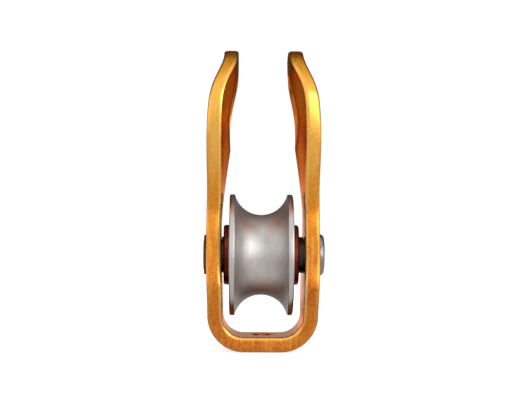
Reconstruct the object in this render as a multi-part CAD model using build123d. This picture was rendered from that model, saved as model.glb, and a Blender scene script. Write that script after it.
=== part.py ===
"""Single sheave block: a U-bent side plate with a grooved sheave on a riveted axle.

Millimetres.  +Z is up, from the closed end of the plate to the connector eye.
X runs along the axle and Y runs across the plate.  The origin is at the centre
of the closed end's outer face, on the surface that the block stands on.
"""
import os

from build123d import *

# Side plate: one strip of aluminium bent into a U, with its ears pressed inwards
PLATE_THICKNESS = 3.75
PLATE_HEIGHT = 78.4
AXLE_HEIGHT = 24.75
FLOOR_HALF_GAP = 10.4
ARM_HALF_GAP = 10.83
EYE_HALF_GAP = 6.5
INNER_BEND_RADIUS = 5.6
BEND_TOP = PLATE_THICKNESS + INNER_BEND_RADIUS
SPREAD_TOP = 27.0

# The ears are pressed inwards between two arched lines, higher at the plate's sides
PRESS_START = AXLE_HEIGHT + 4.3
PRESS_END = AXLE_HEIGHT + 49.1
PRESS_ARCH = 0.0367
PRESS_ARCH_POWER = 2.4

# Side plate: its outline as seen along the axle
EYE_DISC_RADIUS = 15.1
EYE_DISC_HEIGHT = PLATE_HEIGHT - EYE_DISC_RADIUS
SHOULDER = (13.6, AXLE_HEIGHT + 26.0)
NECK = (8.3, AXLE_HEIGHT + 10.5)
CHEEK = (13.8, AXLE_HEIGHT - 8.0)
STRIP_HALF_WIDTH = 9.0
STRIP_TOP = 2.0

# Holes in the side plate
EYE_HOLE_RADIUS = 9.75
EYE_HEIGHT = AXLE_HEIGHT + 37.1
AXLE_HOLE_RADIUS = 4.0
FLOOR_HOLE_RADIUS = 2.35

# Sheave, turned from aluminium, and its rest place to one side of the gap
SHEAVE_SHIFT = -0.4
SHEAVE_RADIUS = 15.9
HUB_WIDTH = 16.7
HUB_FACE_RADIUS = 10.9
RIM_WIDTH = 16.5
RIM_ROUND = 0.5
GROOVE_ROOT_RADIUS = 10.5
GROOVE_RADIUS = 7.1
GROOVE_LIP_ROUND = 0.3
SHEAVE_BORE_RADIUS = 6.05

# Flanged bushings of sintered bronze, one from each side of the sheave
BUSHING_RADIUS = 6.0
BUSHING_BORE_RADIUS = 4.8
BUSHING_LENGTH = 7.5
FLANGE_RADIUS = 7.85
FLANGE_THICKNESS = 1.4
FLANGE_CHAMFER = 0.35
FLANGE_CLEARANCE = 0.03

# Axle: a hardened sleeve between the arms, on a pin that is riveted over a washer
SLEEVE_RADIUS = 4.75
SLEEVE_BORE_RADIUS = 4.0
PIN_RADIUS = 3.95
DOME_RADIUS = 5.5
DOME_HEIGHT = 1.95
DOME_FALL = 0.6
DOME_ROUND = 1.2
WASHER_RADIUS = 5.2
WASHER_THICKNESS = 0.75
RIVET_PROUD = 0.15
SMALL_ROUND = 0.2

# Grid on which the arm's pressed faces are laid out
GRID_HALF_WIDTH = 18.0
GRID_TOP = PLATE_HEIGHT + 3.0
GRID_COLUMNS = 19
GRID_ROWS = 43
SLOPE_STEP = 0.01
FACE_TOLERANCE = 1e-3
BLOCK = 40.0


def smoothstep(value, start, end):
    """Ease from 0 at start to 1 at end, level at both."""
    share = min(max((value - start) / (end - start), 0.0), 1.0)
    return share * share * (3 - 2 * share)


def inner_x(y, z):
    """How far the right arm's inner face stands from the middle of the gap."""
    spread = (ARM_HALF_GAP - FLOOR_HALF_GAP) * smoothstep(z, BEND_TOP, SPREAD_TOP)
    arched = z - PRESS_ARCH * abs(y) ** PRESS_ARCH_POWER
    press = (ARM_HALF_GAP - EYE_HALF_GAP) * smoothstep(arched, PRESS_START, PRESS_END)
    return FLOOR_HALF_GAP + spread - press


def arm_point(y, z, depth):
    """A point at the given depth of metal, square to the arm's inner face."""
    slope_y = (inner_x(y + SLOPE_STEP, z) - inner_x(y - SLOPE_STEP, z)) / (2 * SLOPE_STEP)
    slope_z = (inner_x(y, z + SLOPE_STEP) - inner_x(y, z - SLOPE_STEP)) / (2 * SLOPE_STEP)
    normal = Vector(1, -slope_y, -slope_z).normalized()
    return Vector(inner_x(y, z), y, z) + normal * depth


def arm_face(depth):
    """One pressed face of the right arm, carried on past its bend and past its tip."""
    rows = []
    for row in range(GRID_ROWS):
        z = GRID_TOP * row / (GRID_ROWS - 1)
        points = []
        for column in range(GRID_COLUMNS):
            y = GRID_HALF_WIDTH * (2 * column / (GRID_COLUMNS - 1) - 1)
            points.append(arm_point(y, z, depth))
        rows.append(points)
    return Face.make_surface_from_array_of_points(rows, tol=FACE_TOLERANCE)


def right_arm(side_shape):
    """The arm's metal lies above its bend, outside its inner face and inside its outer one."""
    outward = Vector(1, 0, 0)
    above_bend = Pos(0, 0, BEND_TOP + BLOCK) * Box(2 * BLOCK, 2 * BLOCK, 2 * BLOCK)
    beyond_inner = extrude(arm_face(0), BLOCK, dir=outward)
    within_outer = extrude(arm_face(PLATE_THICKNESS), BLOCK, dir=-outward)
    return (beyond_inner & (side_shape & above_bend)) & within_outer


def closed_end():
    """The floor of the U and its two quarter bends, up to where the arms start."""
    def block(half_width, bottom, radius):
        solid = Pos(0, 0, bottom + BLOCK / 2) * Box(2 * half_width, 2 * GRID_HALF_WIDTH, BLOCK)
        return fillet(solid.edges().filter_by(Axis.Y).group_by(Axis.Z)[0], radius)

    outer = block(FLOOR_HALF_GAP + PLATE_THICKNESS, 0, INNER_BEND_RADIUS + PLATE_THICKNESS)
    inner = block(FLOOR_HALF_GAP, PLATE_THICKNESS, INNER_BEND_RADIUS)
    below_arms = Pos(0, 0, BEND_TOP / 2) * Box(BLOCK, BLOCK, BEND_TOP)
    return (outer - inner) & below_arms


def outline():
    """The plate's outline along the axle: round eye, narrow neck, wide cheek, narrower floor."""
    right = (EYE_DISC_RADIUS, EYE_DISC_HEIGHT)
    foot = (STRIP_HALF_WIDTH, STRIP_TOP)
    downward = (0, -1)
    tip = ThreePointArc((0, PLATE_HEIGHT), polar_corner(45), right)
    flank = Spline(right, SHOULDER, NECK, CHEEK, foot, tangents=(downward, downward))
    strip = Polyline(foot, (STRIP_HALF_WIDTH, -1), (0, -1))
    half = Wire([tip, flank, *strip.edges()])
    whole = Wire([*half.edges(), *mirror(half, about=Plane.YZ).edges()])
    return extrude(Plane.YZ * make_face(whole), BLOCK, both=True)


def polar_corner(angle):
    """A point on the eye's rim, at an angle up from the plate's side, seen along the axle."""
    spoke = Vector(EYE_DISC_RADIUS, 0).rotate(Axis.Z, angle)
    return spoke + Vector(0, EYE_DISC_HEIGHT)


def along_axle(x, height):
    """A place on a line parallel to the axle, with local Z pointing along +X."""
    return Pos(x, 0, height) * Rot(0, 90, 0)


def make_side_plate():
    side_shape = outline()
    arm = right_arm(side_shape)
    plate = (closed_end() & side_shape) + arm + mirror(arm, about=Plane.YZ)
    plate -= along_axle(0, EYE_HEIGHT) * Cylinder(EYE_HOLE_RADIUS, BLOCK)
    plate -= along_axle(0, AXLE_HEIGHT) * Cylinder(AXLE_HOLE_RADIUS, BLOCK)
    plate -= Cylinder(FLOOR_HOLE_RADIUS, BLOCK / 2)
    return plate


def turned(profile, x=0.0):
    """Turn a closed profile, drawn as (along the axle, radius), about the axle."""
    return Pos(x, 0, AXLE_HEIGHT) * revolve(Plane.XZ * profile, Axis.X)


def make_sheave():
    hub = HUB_WIDTH / 2
    rim = RIM_WIDTH / 2
    profile = Pos(0, SHEAVE_RADIUS / 2) * Rectangle(RIM_WIDTH, SHEAVE_RADIUS)
    profile += Pos(0, HUB_FACE_RADIUS / 2) * Rectangle(2 * hub, HUB_FACE_RADIUS)
    profile -= Pos(0, GROOVE_ROOT_RADIUS + GROOVE_RADIUS) * Circle(GROOVE_RADIUS)
    profile -= Pos(0, SHEAVE_BORE_RADIUS / 2) * Rectangle(2 * hub, SHEAVE_BORE_RADIUS)
    crest = [v for v in profile.vertices() if abs(v.Y - SHEAVE_RADIUS) < 1e-3]
    profile = fillet([v for v in crest if abs(v.X) > rim - 1e-3], RIM_ROUND)
    crest = [v for v in profile.vertices() if abs(v.Y - SHEAVE_RADIUS) < 1e-3]
    lips = sorted(crest, key=lambda v: abs(v.X))[:2]
    profile = fillet(lips, GROOVE_LIP_ROUND)
    return turned(profile, SHEAVE_SHIFT)


def make_bushing(side):
    """side is +1 on the right of the sheave and -1 on its left."""
    flange_inner = HUB_WIDTH / 2 + FLANGE_CLEARANCE
    flange_outer = flange_inner + FLANGE_THICKNESS
    sleeve_end = flange_inner - BUSHING_LENGTH
    profile = make_face(Polyline(
        (sleeve_end, BUSHING_BORE_RADIUS),
        (flange_outer, BUSHING_BORE_RADIUS),
        (flange_outer, FLANGE_RADIUS - FLANGE_CHAMFER),
        (flange_outer - FLANGE_CHAMFER, FLANGE_RADIUS),
        (flange_inner, FLANGE_RADIUS),
        (flange_inner, BUSHING_RADIUS),
        (sleeve_end, BUSHING_RADIUS),
        close=True,
    ))
    bushing = revolve(Plane.XZ * profile, Axis.X)
    if side < 0:
        bushing = mirror(bushing, about=Plane.YZ)
    return Pos(SHEAVE_SHIFT, 0, AXLE_HEIGHT) * bushing


def make_axle_sleeve():
    """The arms close on the sleeve's lower edge, where their gap is narrowest."""
    length = 2 * inner_x(0, AXLE_HEIGHT - SLEEVE_RADIUS)
    ring = Circle(SLEEVE_RADIUS) - Circle(SLEEVE_BORE_RADIUS)
    tube = extrude(ring, length / 2, both=True)
    return along_axle(0, AXLE_HEIGHT) * tube


def make_axle_pin():
    seat = ARM_HALF_GAP + PLATE_THICKNESS
    shank_end = seat + WASHER_THICKNESS + RIVET_PROUD
    shank = Cylinder(PIN_RADIUS, seat + shank_end, align=(Align.CENTER, Align.CENTER, Align.MAX))
    shank = chamfer(shank.edges().group_by(Axis.Z)[0], RIVET_PROUD)
    head = Cylinder(DOME_RADIUS, DOME_HEIGHT, align=(Align.CENTER, Align.CENTER, Align.MIN))
    crown_radius = (DOME_RADIUS ** 2 + DOME_FALL ** 2) / (2 * DOME_FALL)
    head = head & Pos(0, 0, DOME_HEIGHT - crown_radius) * Sphere(crown_radius)
    rim = head.edges().filter_by(lambda edge: edge.is_closed).sort_by(Axis.Z)[-1]
    head = fillet(rim, DOME_ROUND)
    return along_axle(seat, AXLE_HEIGHT) * (shank + head)


def make_rivet_washer():
    seat = -(ARM_HALF_GAP + PLATE_THICKNESS)
    ring = Circle(WASHER_RADIUS) - Circle(AXLE_HOLE_RADIUS)
    washer = extrude(ring, -WASHER_THICKNESS)
    outer_rim = washer.edges().group_by(Axis.Z)[0].sort_by(SortBy.RADIUS)[-1]
    washer = fillet(outer_rim, SMALL_ROUND)
    return along_axle(seat, AXLE_HEIGHT) * washer


def main():
    nodes = {
        "side_plate": make_side_plate(),
        "sheave": make_sheave(),
        "bushing_left": make_bushing(-1),
        "bushing_right": make_bushing(1),
        "axle_sleeve": make_axle_sleeve(),
        "axle_pin": make_axle_pin(),
        "rivet_washer": make_rivet_washer(),
    }
    os.makedirs("parts", exist_ok=True)
    for name, shape in nodes.items():
        export_step(shape, f"parts/{name}.step")


main()
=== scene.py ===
"""Single sheave block: finished pieces, materials, light and camera, on the CAD frame.

Metres in Blender.  Lengths below are in millimetres, in the frame's own axes, until MM is applied.
"""

import math

import bpy
import numpy as np
from mathutils import Matrix, Vector
from mathutils.geometry import delaunay_2d_cdt


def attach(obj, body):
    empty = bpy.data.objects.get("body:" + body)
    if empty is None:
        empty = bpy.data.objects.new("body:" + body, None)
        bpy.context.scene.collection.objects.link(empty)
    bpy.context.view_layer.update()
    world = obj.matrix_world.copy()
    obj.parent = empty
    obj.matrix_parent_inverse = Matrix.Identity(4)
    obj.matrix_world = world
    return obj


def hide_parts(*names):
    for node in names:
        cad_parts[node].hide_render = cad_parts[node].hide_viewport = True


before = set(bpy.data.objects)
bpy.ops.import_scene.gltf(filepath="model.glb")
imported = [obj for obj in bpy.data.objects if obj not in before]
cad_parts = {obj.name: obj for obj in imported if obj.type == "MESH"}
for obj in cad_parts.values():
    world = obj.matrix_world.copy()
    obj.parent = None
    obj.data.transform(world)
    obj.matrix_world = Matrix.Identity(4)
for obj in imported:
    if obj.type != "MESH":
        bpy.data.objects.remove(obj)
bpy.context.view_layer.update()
MM = 0.001

# The plate's form, as in the CAD model
THICKNESS = 3.75
HEIGHT = 78.4
AXLE = 24.75
FLOOR_GAP = 10.4
ARM_GAP = 10.83
EYE_GAP = 6.5
BEND_RADIUS = 5.6
BEND_TOP = THICKNESS + BEND_RADIUS
SPREAD_TOP = 27.0
PRESS_START = AXLE + 4.3
PRESS_END = AXLE + 49.1
ARCH = 0.0367
ARCH_POWER = 2.4
EYE_DISC = 15.1
EYE_HOLE = 9.75
EYE_HEIGHT = AXLE + 37.1
AXLE_HOLE = 4.0
FLOOR_HOLE = 2.35
SHOULDER = (13.6, AXLE + 26.0)
NECK = (8.3, AXLE + 10.5)
CHEEK = (13.8, AXLE - 8.0)
FOOT = (9.0, 2.0)

# The plate's rounded edges, and how finely it is divided
INNER_CORNER = (0.5, 0.8)
OUTER_CORNER = (0.45, 0.8)
CORNER_POWER = 1.35
HOLE_CORNER = 0.4
ROUND_STEPS = 6
FLAT_SHARES = (0.35, 0.65)
CUT_SHARE = 0.65
CURVE_POINTS = 40
OUTLINE_STEP = 0.8
SMALL_HOLE_STEP = 0.45
FACE_STEP = 1.25
FACE_HALF_WIDTH = 18
EDGE_CLEARANCE = 0.6 * FACE_STEP
SLOPE_STEP = 0.01
SAME_POINT = 1e-7

# How much the corners are rubbed pale: partly wear, partly a painted highlight, strongest on the inner
# corner
INNER_RUB_AND_HIGHLIGHT = 1.0
OUTER_RUB_AND_HIGHLIGHT = 0.3
HOLE_RUB_AND_HIGHLIGHT = 0.35

# The strip's own length: arms measured by their height, then the bend along its middle, then the floor
MIDDLE_RADIUS = BEND_RADIUS + THICKNESS / 2
BEND_START = BEND_TOP - MIDDLE_RADIUS * math.pi / 2
STRIP_MIDDLE = BEND_START - (FLOOR_GAP - BEND_RADIUS)


# ---------------------------------------------------------------- the plate's mesh

def smoothstep(value, start, end):
    share = min(max((value - start) / (end - start), 0.0), 1.0)
    return share * share * (3 - 2 * share)


def inner_x(y, z):
    """How far the right arm's inner face stands from the middle of the gap."""
    spread = (ARM_GAP - FLOOR_GAP) * smoothstep(z, BEND_TOP, SPREAD_TOP)
    arched = z - ARCH * abs(y) ** ARCH_POWER
    press = (ARM_GAP - EYE_GAP) * smoothstep(arched, PRESS_START, PRESS_END)
    return FLOOR_GAP + spread - press


def slopes(y, z):
    """How fast the inner face moves outwards along y and along z."""
    step = SLOPE_STEP
    along_y = (inner_x(y + step, z) - inner_x(y - step, z)) / (2 * step)
    along_z = (inner_x(y, z + step) - inner_x(y, z - step)) / (2 * step)
    return along_y, along_z


def other_arm(s):
    """The same place on the flat strip's other arm."""
    return 2 * STRIP_MIDDLE - s


def bent(y, s, depth):
    """Where a point of the flat strip goes when it is bent up and its ears are pressed inwards."""
    side = 1.0
    if s < STRIP_MIDDLE:
        s = other_arm(s)
        side = -1.0
    if s >= BEND_TOP:
        along_y, along_z = slopes(y, s)
        normal = Vector((1, -along_y, -along_z)).normalized()
        point = Vector((inner_x(y, s), y, s)) + normal * depth
    elif s > BEND_START:
        angle = (s - BEND_START) / MIDDLE_RADIUS
        reach = BEND_RADIUS + depth
        x = FLOOR_GAP - BEND_RADIUS + reach * math.sin(angle)
        point = Vector((x, y, THICKNESS + BEND_RADIUS - reach * math.cos(angle)))
    else:
        point = Vector((s - STRIP_MIDDLE, y, THICKNESS - depth))
    point.x *= side
    return point * MM


def flank():
    """The plate's side from the eye's widest point to the foot, as a cubic spline."""
    points = np.array([(EYE_DISC, HEIGHT - EYE_DISC), SHOULDER, NECK, CHEEK, FOOT])
    steps = np.linalg.norm(np.diff(points, axis=0), axis=1)
    count = len(points)
    system = np.zeros((count, count))
    wanted = np.zeros((count, 2))
    system[0, 0] = system[-1, -1] = 1
    wanted[0] = wanted[-1] = (0, -1)
    for i in range(1, count - 1):
        before, after = steps[i - 1], steps[i]
        system[i, i - 1:i + 2] = after, 2 * (before + after), before
        wanted[i] = 3 * (after / before * (points[i] - points[i - 1])
                         + before / after * (points[i + 1] - points[i]))
    tangents = np.linalg.solve(system, wanted)
    line = []
    for i in range(count - 1):
        for t in np.linspace(0, 1, CURVE_POINTS, endpoint=False):
            line.append((1 + 2 * t) * (1 - t) ** 2 * points[i]
                        + t * (1 - t) ** 2 * steps[i] * tangents[i]
                        + t * t * (3 - 2 * t) * points[i + 1]
                        + t * t * (t - 1) * steps[i] * tangents[i + 1])
    return line + [points[-1]]


def strip_length(y, z):
    """The flat strip's point for a point of the outline seen along the axle."""
    if z >= BEND_TOP:
        return y, z
    turn = math.acos(min((BEND_TOP - z) / MIDDLE_RADIUS, 1.0))
    return y, BEND_START + MIDDLE_RADIUS * turn


def evenly(points, step):
    """The same closed line with its points evenly spaced."""
    points = np.array(points)
    closed = np.vstack([points, points[:1]])
    travelled = np.concatenate([[0], np.cumsum(np.linalg.norm(np.diff(closed, axis=0), axis=1))])
    count = int(round(travelled[-1] / step))
    marks = np.linspace(0, travelled[-1], count, endpoint=False)
    return np.column_stack([np.interp(marks, travelled, closed[:, k]) for k in (0, 1)])


def strip_outline():
    """The whole flat strip's outline, ear to ear, as (y, length along the strip)."""
    tip = []
    for angle in np.linspace(math.pi / 2, 0, CURVE_POINTS, endpoint=False):
        tip.append((EYE_DISC * math.cos(angle), HEIGHT - EYE_DISC + EYE_DISC * math.sin(angle)))
    down = tip + [strip_length(y, z) for y, z in flank()]
    right = down + [(FOOT[0], STRIP_MIDDLE)]
    up = [(y, other_arm(s)) for y, s in reversed(down)]
    half = right + up
    other = [(-y, s) for y, s in reversed(half[1:-1])]
    return evenly(half + other, OUTLINE_STEP)


def ring(radius, s, step):
    """A round hole's edge on the flat strip."""
    count = int(2 * math.pi * radius / step)
    angles = np.linspace(0, 2 * math.pi, count, endpoint=False)
    return np.column_stack([radius * np.cos(angles), s + radius * np.sin(angles)])


def outward(loop):
    """Each point's direction away from the metal, for an outline that runs with the metal on its left."""
    along = np.roll(loop, -1, axis=0) - np.roll(loop, 1, axis=0)
    normal = np.column_stack([along[:, 1], -along[:, 0]])
    return normal / np.linalg.norm(normal, axis=1)[:, None]


def signed_area(loop):
    after = np.roll(loop, -1, axis=0)
    return 0.5 * float(np.sum(loop[:, 0] * after[:, 1] - after[:, 0] * loop[:, 1]))


def corner(inset, depth):
    """A softened chamfer, from the face to the cut edge, as (how far in, how deep)."""
    steps = []
    for k in range(ROUND_STEPS + 1):
        turn = math.pi / 2 * k / ROUND_STEPS
        steps.append((inset * (1 - math.sin(turn) ** CORNER_POWER),
                      depth * (1 - abs(math.cos(turn)) ** CORNER_POWER)))
    return steps


def edge_profile(size):
    """(how far in from the edge, depth) from the inner face round to the outer one."""
    inner = [(size * inset, size * depth) for inset, depth in corner(*INNER_CORNER)]
    outer = [(size * inset, THICKNESS - size * depth) for inset, depth in corner(*OUTER_CORNER)]
    flat = outer[-1][1] - inner[-1][1]
    between = [(0.0, inner[-1][1] + share * flat) for share in FLAT_SHARES]
    return inner + between + outer[::-1]


def drilled(point, depth):
    """Where a line along the axle through an inner point comes out, on the strip, at this depth."""
    y, s = point
    mirrored = s < STRIP_MIDDLE
    height = other_arm(s) if mirrored else s
    if height < BEND_TOP:
        return y, s
    along_y, along_z = slopes(y, height)
    run = depth / math.sqrt(1 + along_y ** 2 + along_z ** 2)
    shifted = height + along_z * run
    return y + along_y * run, other_arm(shifted) if mirrored else shifted


def inside(points, loop):
    """Which of the points lie inside the closed loop."""
    hit = np.zeros(len(points), bool)
    for a, b in zip(loop, np.roll(loop, -1, axis=0)):
        spans = (a[1] > points[:, 1]) != (b[1] > points[:, 1])
        if spans.any():
            crossing = a[0] + (points[:, 1] - a[1]) * (b[0] - a[0]) / (b[1] - a[1] + 1e-12)
            hit ^= spans & (points[:, 0] < crossing)
    return hit


def nearest(points, loop):
    """Each point's distance from the loop's nearest point."""
    return np.sqrt(((points[:, None, :] - loop[None, :, :]) ** 2).sum(axis=2).min(axis=1))


def face_points(loops):
    """An even, staggered scatter of points on the flat face, clear of its edges."""
    rows = []
    row_step = FACE_STEP * math.sqrt(3) / 2
    count = int((HEIGHT - STRIP_MIDDLE) / row_step)
    for row in range(-count, count + 1):
        shift = FACE_STEP / 2 if row % 2 else 0.0
        for y in np.arange(-FACE_HALF_WIDTH, FACE_HALF_WIDTH, FACE_STEP):
            rows.append((y + shift, STRIP_MIDDLE + row * row_step))
    points = np.array(rows)
    keep = inside(points, loops[0])
    for hole in loops[1:]:
        keep &= ~inside(points, hole)
    points = points[keep]
    for loop in loops:
        points = points[nearest(points, loop) > EDGE_CLEARANCE]
    return points


class PlateMesh:
    """The plate's points and faces as they are gathered.

    Two values go with each point: "cut" is 0 on the faces and 1 on the cut edge, and the other
    says how much a corner is rubbed pale, partly as wear and partly as a painted highlight.
    """

    def __init__(self):
        self.vertices, self.faces, self.cut, self.rub_and_highlight = [], [], [], []

    def add_points(self, points, depth, cut=0.0, rub_and_highlight=0.0):
        """Bends points of the flat strip into place, and returns their numbers."""
        first = len(self.vertices)
        self.vertices += [bent(y, s, depth) for y, s in points]
        self.cut += [cut] * len(points)
        self.rub_and_highlight += [rub_and_highlight] * len(points)
        return range(first, len(self.vertices))

    def add_rounded_edge(self, loop, is_hole):
        """Rings of points round one outline.  Returns the inner face's ring and the outer face's."""
        profile = edge_profile(HOLE_CORNER if is_hole else 1.0)
        away = outward(loop)
        last = len(profile) - 1
        rings = []
        for step, (inset, depth) in enumerate(profile):
            shear = depth if is_hole else CUT_SHARE * THICKNESS
            moved = np.array([drilled(point, shear) for point in loop - away * inset])
            # A corner's paleness is partly wear and partly a painted highlight, strongest on the inner
            # corner
            off_face = min(min(step, last - step) / ROUND_STEPS, 1.0)
            share = INNER_RUB_AND_HIGHLIGHT if step < last / 2 else OUTER_RUB_AND_HIGHLIGHT
            rub_and_highlight = 4 * off_face * (1 - off_face) * share * (HOLE_RUB_AND_HIGHLIGHT if is_hole else 1.0)
            numbers = self.add_points(moved, depth, 0.0 if is_hole else off_face, rub_and_highlight)
            rings.append((moved, numbers))
        for (_, low), (_, high) in zip(rings, rings[1:]):
            for k in range(len(loop)):
                after = (k + 1) % len(loop)
                self.faces.append((low[k], low[after], high[after], high[k]))
        return rings[0], rings[-1]

    def add_face(self, rings, depth):
        """One pressed face, inside its outline's ring and outside its holes' rings."""
        flat, edges, numbers = [], [], []
        for ring_points, ring_numbers in rings:
            base, count = len(flat), len(ring_points)
            flat += [tuple(point) for point in ring_points]
            numbers += ring_numbers
            edges += [(base + k, base + (k + 1) % count) for k in range(count)]
        scatter = face_points([ring_points for ring_points, _ in rings])
        flat += [tuple(point) for point in scatter]
        numbers += self.add_points(scatter, depth)
        found = delaunay_2d_cdt([Vector(point) for point in flat], edges, [], 0, SAME_POINT)
        where = np.array([tuple(point) for point in found[0]])
        triangles = np.array(found[2])
        origin = [numbers[came_from[0]] for came_from in found[3]]
        middles = where[triangles].mean(axis=1)
        metal = inside(middles, rings[0][0])
        for hole, _ in rings[1:]:
            metal &= ~inside(middles, hole)
        for triangle in triangles[metal]:
            around = [origin[k] for k in triangle]
            self.faces.append(around if depth else around[::-1])

    def finished(self, name):
        mesh = bpy.data.meshes.new(name)
        mesh.from_pydata([tuple(vertex) for vertex in self.vertices], [], self.faces)
        mesh.attributes.new("cut", "FLOAT", "POINT").data.foreach_set("value", self.cut)
        mesh.attributes.new("rub_and_highlight", "FLOAT", "POINT").data.foreach_set("value", self.rub_and_highlight)
        mesh.validate()
        mesh.update()
        mesh.polygons.foreach_set("use_smooth", [True] * len(mesh.polygons))
        return mesh


def make_plate():
    """The plate's mesh: rounded edge round every outline, and two pressed faces between them."""
    outline = strip_outline()
    if signed_area(outline) < 0:
        outline = outline[::-1]
    holes = [ring(FLOOR_HOLE, STRIP_MIDDLE, SMALL_HOLE_STEP)]
    for radius, height in ((EYE_HOLE, EYE_HEIGHT), (AXLE_HOLE, AXLE)):
        for s in (height, other_arm(height)):
            holes.append(ring(radius, s, OUTLINE_STEP))
    shape = PlateMesh()
    edges = [shape.add_rounded_edge(outline, False)]
    edges += [shape.add_rounded_edge(hole[::-1], True) for hole in holes]
    inner_rings, outer_rings = zip(*edges)
    shape.add_face(inner_rings, 0.0)
    shape.add_face(outer_rings, THICKNESS)
    return shape.finished("plate_formed")


# ---------------------------------------------------------------- node helpers

class Shader:
    """A material with a Principled shader, and short calls for adding its nodes."""

    def __init__(self, name):
        self.material = bpy.data.materials.new(name)
        self.material.use_nodes = True
        self.tree = self.material.node_tree
        self.shader = self.tree.nodes["Principled BSDF"]
        self.place = self.node("ShaderNodeTexCoord").outputs["Object"]

    def node(self, kind, **settings):
        made = self.tree.nodes.new(kind)
        for name, value in settings.items():
            setattr(made, name, value)
        return made

    def feed(self, socket, value):
        if isinstance(value, bpy.types.NodeSocket):
            self.tree.links.new(value, socket)
        elif value is not None:
            socket.default_value = value

    def math(self, operation, first, second=None):
        made = self.node("ShaderNodeMath", operation=operation)
        for socket, value in zip(made.inputs, (first, second)):
            self.feed(socket, value)
        return made.outputs[0]

    def times(self, first, second):
        return self.math("MULTIPLY", first, second)

    def plus(self, first, second):
        return self.math("ADD", first, second)

    def scaled(self, factors):
        """The object's own coordinates, stretched."""
        made = self.node("ShaderNodeVectorMath", operation="MULTIPLY")
        self.feed(made.inputs[0], self.place)
        made.inputs[1].default_value = factors
        return made.outputs[0]

    def noise(self, scale, detail=3.0, roughness=0.55, vector=None):
        made = self.node("ShaderNodeTexNoise")
        self.feed(made.inputs["Vector"], vector or self.place)
        made.inputs["Scale"].default_value = scale
        made.inputs["Detail"].default_value = detail
        made.inputs["Roughness"].default_value = roughness
        return made.outputs["Fac"]

    def ramp(self, factor, *stops):
        made = self.node("ShaderNodeValToRGB")
        self.feed(made.inputs[0], factor)
        elements = made.color_ramp.elements
        while len(elements) < len(stops):
            elements.new(0.5)
        for element, (position, colour) in zip(elements, stops):
            element.position = position
            element.color = grey(colour) if isinstance(colour, float) else colour
        return made.outputs[0]

    def span(self, value, low, high, start=0.0, end=1.0):
        """Goes smoothly from start to end while the value goes from low to high."""
        made = self.node("ShaderNodeMapRange", clamp=True)
        made.interpolation_type = "SMOOTHSTEP"
        for socket, number in zip(made.inputs, (value, low, high, start, end)):
            self.feed(socket, number)
        return made.outputs[0]

    def mix(self, factor, first, second):
        made = self.node("ShaderNodeMix", data_type="RGBA")
        self.feed(made.inputs[0], factor)
        self.feed(made.inputs[6], first)
        self.feed(made.inputs[7], second)
        return made.outputs[2]

    def bump(self, height, strength, distance, onto=None):
        made = self.node("ShaderNodeBump")
        made.inputs["Strength"].default_value = strength
        made.inputs["Distance"].default_value = distance
        self.feed(made.inputs["Height"], height)
        self.feed(made.inputs["Normal"], onto)
        return made.outputs[0]

    def attribute(self, name):
        return self.node("ShaderNodeAttribute", attribute_name=name).outputs["Fac"]

    def split(self):
        made = self.node("ShaderNodeSeparateXYZ")
        self.feed(made.inputs[0], self.place)
        return made.outputs

    def radius(self):
        """Distance from the axle's line, in metres."""
        _, y, z = self.split()
        height = self.math("SUBTRACT", z, AXLE * MM)
        return self.math("SQRT", self.plus(self.times(y, y), self.times(height, height)))

    def set(self, **values):
        for name, value in values.items():
            self.feed(self.shader.inputs[name.replace("_", " ")], value)
        return self.material


def grey(value):
    return (value, value, value, 1.0)


def rgb(red, green, blue):
    """A colour given as it shows on screen, 0 to 255, in the shader's linear light."""
    linear = []
    for part in (red, green, blue):
        part /= 255
        linear.append(part / 12.92 if part <= 0.04045 else ((part + 0.055) / 1.055) ** 2.4)
    return (*linear, 1.0)


# ---------------------------------------------------------------- materials
# Noise scales are in waves to a metre: 1500 is a grain of about 0.7 mm, 110 a cloud of about 9 mm.

RINGS_PER_METRE = 3400.0


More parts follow.
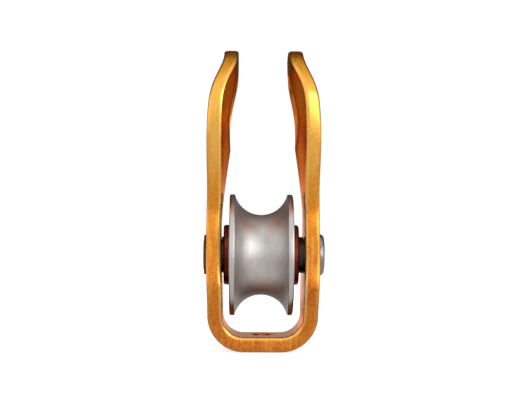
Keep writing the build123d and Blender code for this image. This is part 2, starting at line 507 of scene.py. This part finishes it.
def anodised():
    """Gold-orange anodising: streaked on the cut edge, satin on the faces, paler on rubbed corners.

    It also has painted light and shade: golder high up, deeper low down and at the ear tips,
    browner on the faces as painted shade, and painted highlights on the corners and round the ears.
    """
    # Painted light and shade in these colours: the low orange is painted shade, the high gold painted
    # light, the face brown painted shade; the rubbed pale is partly wear, partly painted highlight.
    low_shaded_orange, high_lit_gold = rgb(194, 94, 24), rgb(243, 162, 26)
    face_shade_brown, rubbed_and_highlight_pale = rgb(188, 95, 50), rgb(255, 214, 122)
    pale_cloud, pale_grain, pale_streak = rgb(252, 176, 46), rgb(255, 194, 74), rgb(255, 196, 70)
    dark_fleck = rgb(196, 104, 32)
    s = Shader("anodised_gold_orange")
    _, _, z = s.split()
    cut = s.attribute("cut")
    mottle = s.noise(1500, 4, 0.6)
    cloud = s.noise(110, 3, 0.5)
    drawn = s.noise(1.0, 3, 0.55, s.scaled((1100.0, 300.0, 90.0)))
    fleck = s.noise(3600, 2, 0.6)

    # Painted light and shade: golder towards the ears as painted light, deeper lower down and again at
    # their tips as painted shade, and browner on the faces as painted shade
    height = s.math("SUBTRACT", s.span(z, 0.012, 0.066), s.span(z, 0.068, 0.079, 0.0, 0.6))
    painted_light_and_shade = s.mix(height, low_shaded_orange, high_lit_gold)
    painted_light_and_shade = s.mix(cut, s.mix(0.8, painted_light_and_shade, face_shade_brown), painted_light_and_shade)
    colour = s.mix(s.span(cloud, 0.3, 0.7, 0.0, 0.2), painted_light_and_shade, pale_cloud)
    for amount, share, tint in ((s.span(mottle, 0.42, 0.62), 0.2, pale_grain),
                                (s.span(fleck, 0.55, 0.72), 0.17, dark_fleck),
                                (s.span(drawn, 0.5, 0.68), 0.3, pale_streak)):
        colour = s.mix(s.times(amount, s.times(cut, share)), colour, tint)

    # Rubbed corners, partly wear and partly painted highlight, and a painted highlight on the cut edge
    # round the ears
    ears = s.times(s.span(z, 0.038, 0.054), s.span(z, 0.066, 0.075, 1.0, 0.0))
    painted_ear_highlight = s.times(s.times(ears, cut), 0.55)
    wear_and_highlight_mask = s.math("MAXIMUM", s.attribute("rub_and_highlight"), painted_ear_highlight)
    wear_and_highlight = s.times(s.span(mottle, 0.3, 0.6, 0.7, 1.0), wear_and_highlight_mask)
    colour = s.mix(s.times(wear_and_highlight, 0.65), colour, rubbed_and_highlight_pale)
    rough = s.plus(s.span(mottle, 0.35, 0.65, 0.27, 0.36), s.times(wear_and_highlight, -0.07))

    # Coarser relief on the cut edge
    grain = s.plus(mottle, s.times(fleck, 0.3))
    cut_relief = s.times(s.times(cut, cut), 0.95)
    relief = s.times(grain, s.plus(cut_relief, 0.05))
    return s.set(Base_Color=colour, Metallic=1.0, Roughness=rough,
                 Specular_Tint=rgb(255, 176, 90), Coat_Roughness=0.2,
                 Coat_Weight=s.plus(s.times(cut, 0.14), 0.14),
                 Normal=s.bump(relief, 0.17, 0.0001))


def turned_aluminium():
    """Turned metal: bright rim bands, and a duller satin groove with fine rings and faint stains."""
    s = Shader("turned_aluminium")
    x, _, _ = s.split()
    radius = s.radius()
    rings = s.node("ShaderNodeCombineXYZ")
    for socket, place in zip(rings.inputs, (x, radius)):
        s.feed(socket, s.times(place, RINGS_PER_METRE))
    fine = s.noise(1.0, 3, 0.6, rings.outputs[0])
    cloud = s.noise(210, 4, 0.6)
    stain = s.noise(90, 2, 0.5)
    rim = s.span(radius, 15.3 * MM, 15.75 * MM)
    groove = s.ramp(cloud, (0.3, rgb(184, 180, 177)), (0.7, rgb(206, 203, 200)))
    groove = s.mix(s.span(stain, 0.5, 0.75, 0.0, 0.4), groove, rgb(160, 148, 140))
    colour = s.mix(rim, groove, rgb(194, 191, 188))
    colour = s.mix(s.span(fine, 0.5, 0.75, 0.0, 0.25), colour, rgb(150, 146, 142))
    rough = s.plus(s.span(fine, 0.3, 0.7, 0.43, 0.5), s.times(rim, -0.14))
    grain = s.bump(s.noise(2600, 2, 0.5), 0.15, 0.00003)
    return s.set(Base_Color=colour, Metallic=1.0, Roughness=rough,
                 Normal=s.bump(fine, 0.2, 0.00003, grain))


def sintered_bronze():
    """Oil-filled sintered bronze: dark red-brown, open-grained and slightly wet."""
    s = Shader("sintered_bronze")
    grain = s.noise(2200, 4, 0.65)
    cloud = s.noise(260, 3, 0.5)
    colour = s.mix(s.span(cloud, 0.35, 0.65), rgb(120, 44, 24), rgb(152, 72, 42))
    colour = s.mix(s.span(grain, 0.5, 0.7, 0.0, 0.6), colour, rgb(52, 16, 10))
    rough = s.span(grain, 0.35, 0.65, 0.34, 0.52)
    return s.set(Base_Color=colour, Metallic=0.85, Roughness=rough,
                 Normal=s.bump(grain, 0.45, 0.00007))


def ground_steel():
    """The axle sleeve: dark ground steel with a fine grain round it."""
    s = Shader("ground_steel")
    grain = s.noise(1.0, 3, 0.6, s.scaled((9000.0, 700.0, 700.0)))
    colour = s.ramp(grain, (0.3, rgb(46, 40, 38)), (0.7, rgb(74, 68, 65)))
    return s.set(Base_Color=colour, Metallic=1.0, Roughness=s.span(grain, 0.3, 0.7, 0.14, 0.24),
                 Normal=s.bump(grain, 0.25, 0.00003))


def rivet_steel():
    """The pin: a polished stainless dome on one side, a peened grey end on the other."""
    s = Shader("rivet_steel")
    x, _, _ = s.split()
    peened = s.span(x, -0.002, 0.002, 1.0, 0.0)
    grain = s.noise(1500, 4, 0.6)
    cloud = s.noise(350, 3, 0.5)
    bright = s.ramp(cloud, (0.3, rgb(136, 134, 132)), (0.7, rgb(158, 156, 154)))
    dull = s.ramp(grain, (0.3, rgb(64, 54, 48)), (0.7, rgb(112, 102, 94)))
    colour = s.mix(peened, bright, dull)
    rough = s.plus(s.span(cloud, 0.3, 0.7, 0.24, 0.32), s.times(peened, 0.2))
    height = s.times(grain, s.plus(s.times(peened, 0.8), 0.1))
    return s.set(Base_Color=colour, Metallic=1.0, Roughness=rough,
                 Normal=s.bump(height, 0.5, 0.00012))


def washer_steel():
    """The washer under the peened end: grey-brown, dulled and scuffed."""
    s = Shader("washer_steel")
    grain = s.noise(1300, 4, 0.6)
    cloud = s.noise(300, 3, 0.5)
    colour = s.mix(s.span(cloud, 0.35, 0.65), rgb(70, 57, 50), rgb(102, 90, 82))
    colour = s.mix(s.span(grain, 0.5, 0.7, 0.0, 0.5), colour, rgb(72, 56, 40))
    return s.set(Base_Color=colour, Metallic=1.0, Roughness=s.span(grain, 0.3, 0.7, 0.4, 0.56),
                 Normal=s.bump(grain, 0.4, 0.0001))


# ---------------------------------------------------------------- the pieces

plate = bpy.data.objects.new("plate_formed", make_plate())
bpy.context.scene.collection.objects.link(plate)
plate.data.materials.append(anodised())
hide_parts("side_plate")
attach(plate, "frame")

FINISHES = {
    "sheave": turned_aluminium(),
    "bushing_left": sintered_bronze(),
    "axle_sleeve": ground_steel(),
    "axle_pin": rivet_steel(),
    "rivet_washer": washer_steel(),
}
FINISHES["bushing_right"] = FINISHES["bushing_left"]
for name, finish in FINISHES.items():
    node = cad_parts[name]
    for material_slot in node.material_slots:
        material_slot.material = finish

# ---------------------------------------------------------------- floor, light and camera

FLOOR_HALF_SIZE = 3.0
FLOOR_DROP = 0.0002
FLOOR_GLOW = 0.7
STUDIO_BACK = 0.08
STUDIO_FRONT = 1.05
BACKDROP = 1.05
BACK_EDGE = 0.35
FRONT_EDGE = -0.6
LOWERED = -0.45


def pale_floor():
    """Plain and nearly white.  Its glow is only for the eye: it lights nothing."""
    s = Shader("pale_floor")
    seen_directly = s.node("ShaderNodeLightPath").outputs["Is Camera Ray"]
    return s.set(Base_Color=s.ramp(s.noise(3, 2), (0.3, 0.84), (0.7, 0.88)), Roughness=0.9,
                 Emission_Color=grey(1.0),
                 Emission_Strength=s.times(seen_directly, FLOOR_GLOW))


def make_floor():
    size = FLOOR_HALF_SIZE
    corners = [(-size, -size, 0), (size, -size, 0), (size, size, 0), (-size, size, 0)]
    mesh = bpy.data.meshes.new("floor")
    mesh.from_pydata(corners, [], [(0, 1, 2, 3)])
    mesh.materials.append(pale_floor())
    floor = bpy.data.objects.new("floor", mesh)
    bpy.context.scene.collection.objects.link(floor)
    floor.location.z = -FLOOR_DROP
    return floor


floor = make_floor()


def make_studio():
    """White to look at.  As a light it is brightest low in front of the block and dim behind it."""
    world = bpy.data.worlds.new("studio")
    world.use_nodes = True
    tree = world.node_tree
    ray = tree.nodes.new("ShaderNodeTexCoord").outputs["Generated"]
    parts = tree.nodes.new("ShaderNodeSeparateXYZ")
    tree.links.new(ray, parts.inputs[0])
    _, back, up = parts.outputs
    lowered = tree.nodes.new("ShaderNodeMath")
    lowered.operation = "MULTIPLY_ADD"
    tree.links.new(up, lowered.inputs[0])
    lowered.inputs[1].default_value = LOWERED
    tree.links.new(back, lowered.inputs[2])
    front = tree.nodes.new("ShaderNodeMapRange")
    front.interpolation_type = "SMOOTHSTEP"
    tree.links.new(lowered.outputs[0], front.inputs[0])
    for socket, value in zip(front.inputs[1:], (BACK_EDGE, FRONT_EDGE, STUDIO_BACK, STUDIO_FRONT)):
        socket.default_value = value
    seen_directly = tree.nodes.new("ShaderNodeLightPath").outputs["Is Camera Ray"]
    both = tree.nodes.new("ShaderNodeMix")
    tree.links.new(seen_directly, both.inputs[0])
    tree.links.new(front.outputs[0], both.inputs[2])
    both.inputs[3].default_value = BACKDROP
    background = tree.nodes["Background"]
    background.inputs[0].default_value = grey(1.0)
    tree.links.new(both.outputs[0], background.inputs[1])
    bpy.context.scene.world = world


make_studio()


def softbox(name, azimuth, elevation, distance, width, height, radiance, aim=HEIGHT / 2):
    """A soft light aimed at a height on the axis.  Azimuth is from the front, towards +X."""
    turn, lift = math.radians(azimuth), math.radians(elevation)
    way = Vector((math.sin(turn) * math.cos(lift), -math.cos(turn) * math.cos(lift), math.sin(lift)))
    light = bpy.data.lights.new(name, "AREA")
    light.shape = "RECTANGLE"
    light.size = width
    light.size_y = height
    light.energy = radiance * math.pi * width * height
    lamp = bpy.data.objects.new(name, light)
    lamp.location = Vector((0, 0, aim * MM)) + way * distance
    lamp.rotation_euler = (-way).to_track_quat("-Z", "Y").to_euler()
    bpy.context.scene.collection.objects.link(lamp)


softbox("key_right", 54, 16, 0.8, 0.44, 0.5, 2.2)
softbox("key_inner", 22, 14, 0.8, 0.36, 0.42, 1.4)
softbox("side_right", 95, 5, 0.8, 0.4, 0.6, 0.8)
softbox("side_left", -85, 5, 0.8, 0.7, 0.6, 0.8)
softbox("back_low", 180, 0, 0.22, 0.5, 0.045, 1.1, aim=22.6)

CAMERA_PLACE = Vector((-4.98, -320.0, AXLE + 7.06)) * MM
YAW = math.radians(1.0)
PITCH = math.radians(1.085)
ROLL = math.radians(0.29)
FOCAL_LENGTH = 82.5
SENSOR_WIDTH = 36.0
NEAREST_SEEN = 0.01


def make_camera():
    """A pinhole camera level with the block, turned, tilted and rolled by about a degree."""
    ahead = Vector((math.sin(YAW) * math.cos(PITCH), math.cos(YAW) * math.cos(PITCH), math.sin(PITCH)))
    level = ahead.cross(Vector((0, 0, 1))).normalized()
    upward = level.cross(ahead)
    right = level * math.cos(ROLL) + upward * math.sin(ROLL)
    top = upward * math.cos(ROLL) - level * math.sin(ROLL)
    lens = bpy.data.cameras.new("camera")
    lens.lens = FOCAL_LENGTH
    lens.sensor_width = SENSOR_WIDTH
    lens.clip_start = NEAREST_SEEN
    camera = bpy.data.objects.new("camera", lens)
    facing = Matrix((right, top, -ahead)).transposed().to_4x4()
    camera.matrix_world = Matrix.Translation(CAMERA_PLACE) @ facing
    bpy.context.scene.collection.objects.link(camera)
    return camera


bpy.context.scene.camera = make_camera()

bpy.context.scene.view_settings.view_transform = "Standard"
